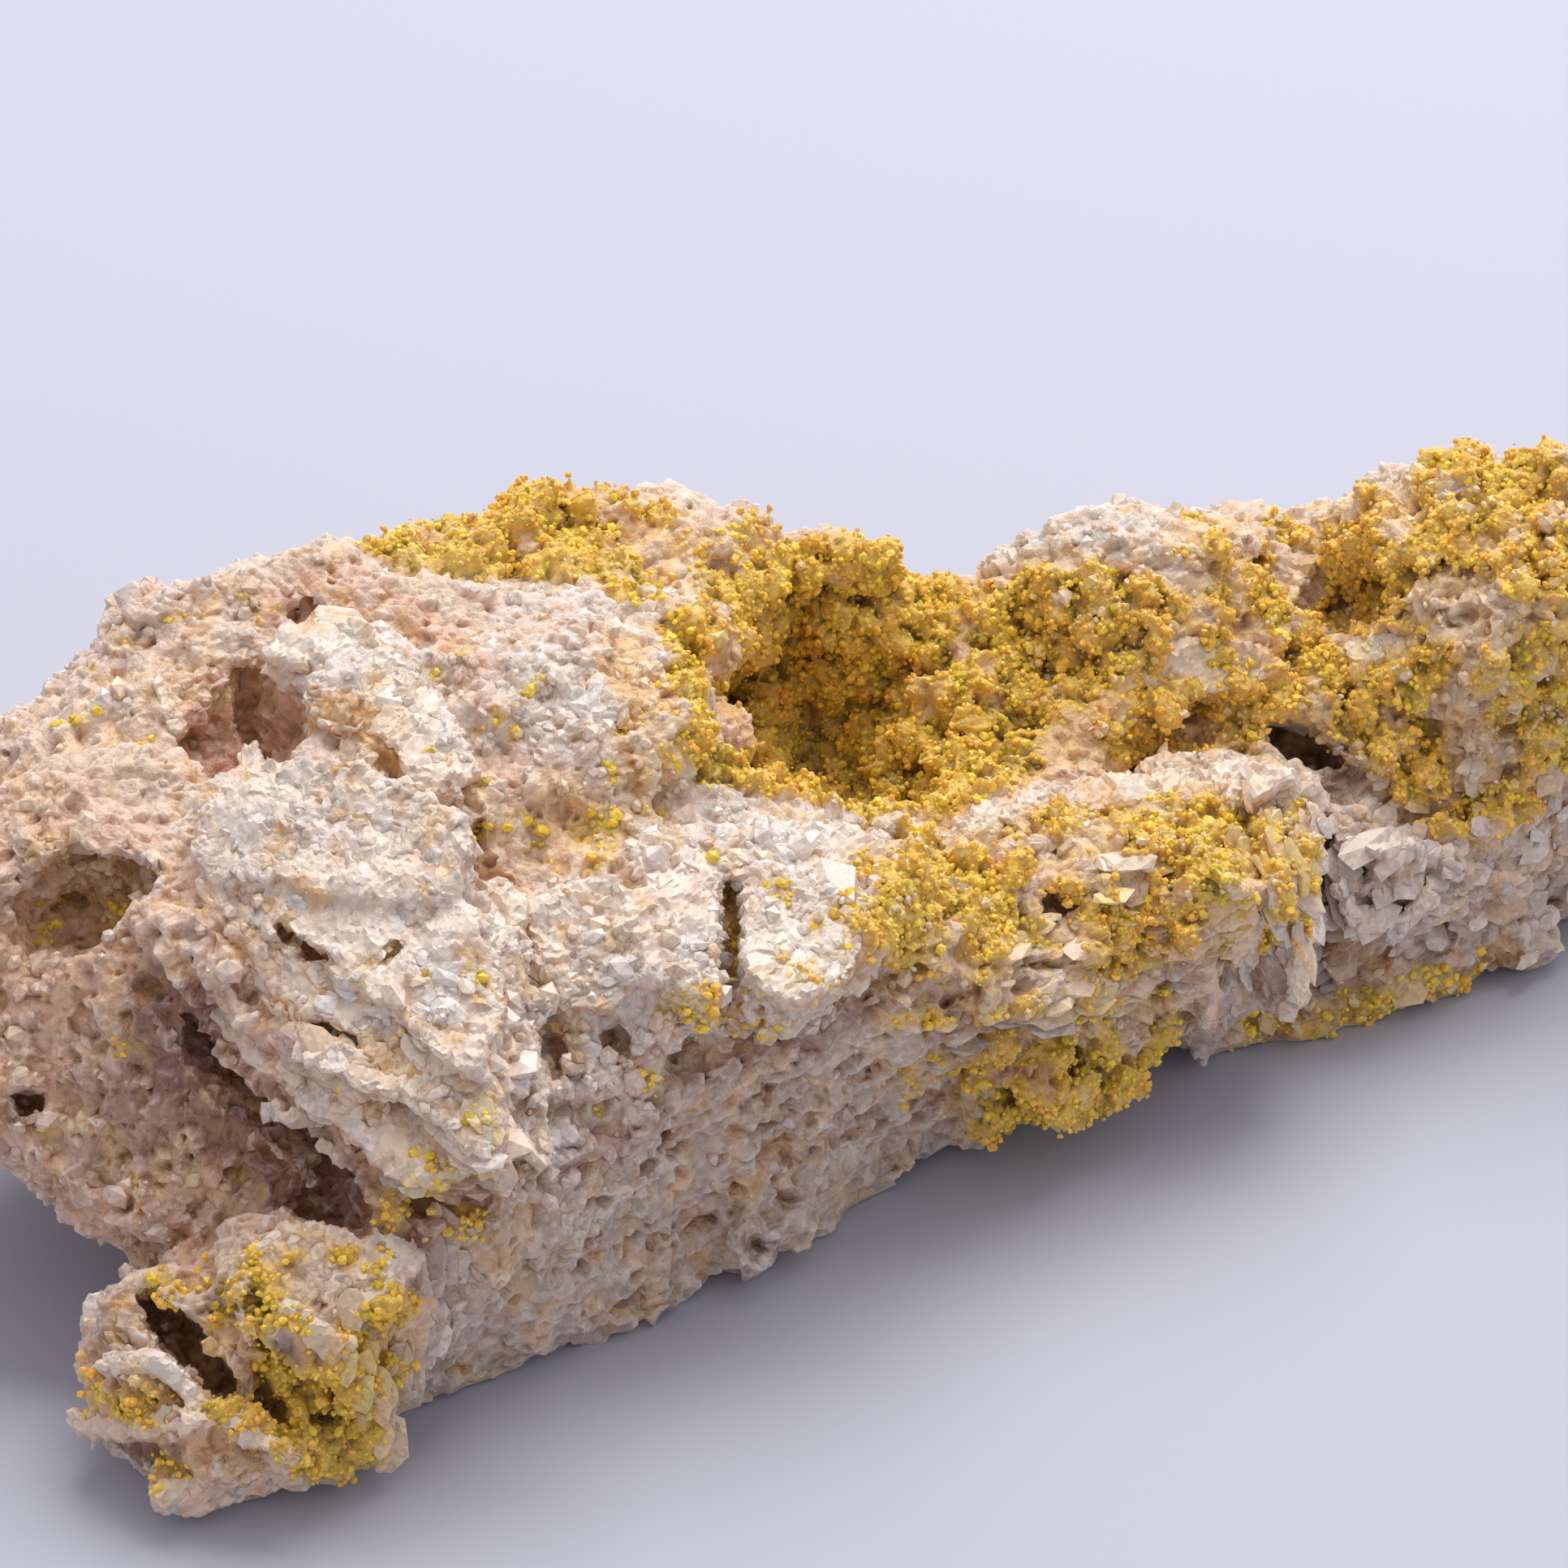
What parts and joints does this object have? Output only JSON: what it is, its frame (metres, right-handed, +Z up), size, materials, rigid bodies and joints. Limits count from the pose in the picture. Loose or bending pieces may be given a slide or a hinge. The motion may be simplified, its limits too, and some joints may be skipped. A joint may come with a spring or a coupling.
{
  "type": "pyromorphite specimen",
  "caption": "Long broken lump of white quartz vein rock lying on its side, with a deep hollow and patches of yellow-green pyromorphite crust grown on it.",
  "frame": {"origin": "middle of the specimen's bounding box, on the surface that it lies on", "axes": "+X along the lump from its blunt left end to its narrower right end, -Y towards the broken front face, +Z up"},
  "size_m": [0.1163, 0.0501, 0.0353],
  "materials": {
    "quartz_rock": "rough broken quartz, white to cream with pink-buff and ochre stains",
    "pyromorphite": "waxy yellow to olive-green beads"
  },
  "bodies": {
    "root": {"matrix": "quartz_rock", "pyromorphite_in_hollow": "pyromorphite", "pyromorphite_on_back_rim": "pyromorphite", "pyromorphite_on_crest": "pyromorphite", "pyromorphite_on_right_knob": "pyromorphite", "pyromorphite_on_front_shelf": "pyromorphite", "pyromorphite_on_belly": "pyromorphite", "pyromorphite_on_foot": "pyromorphite"}
  },
  "joints": []
}
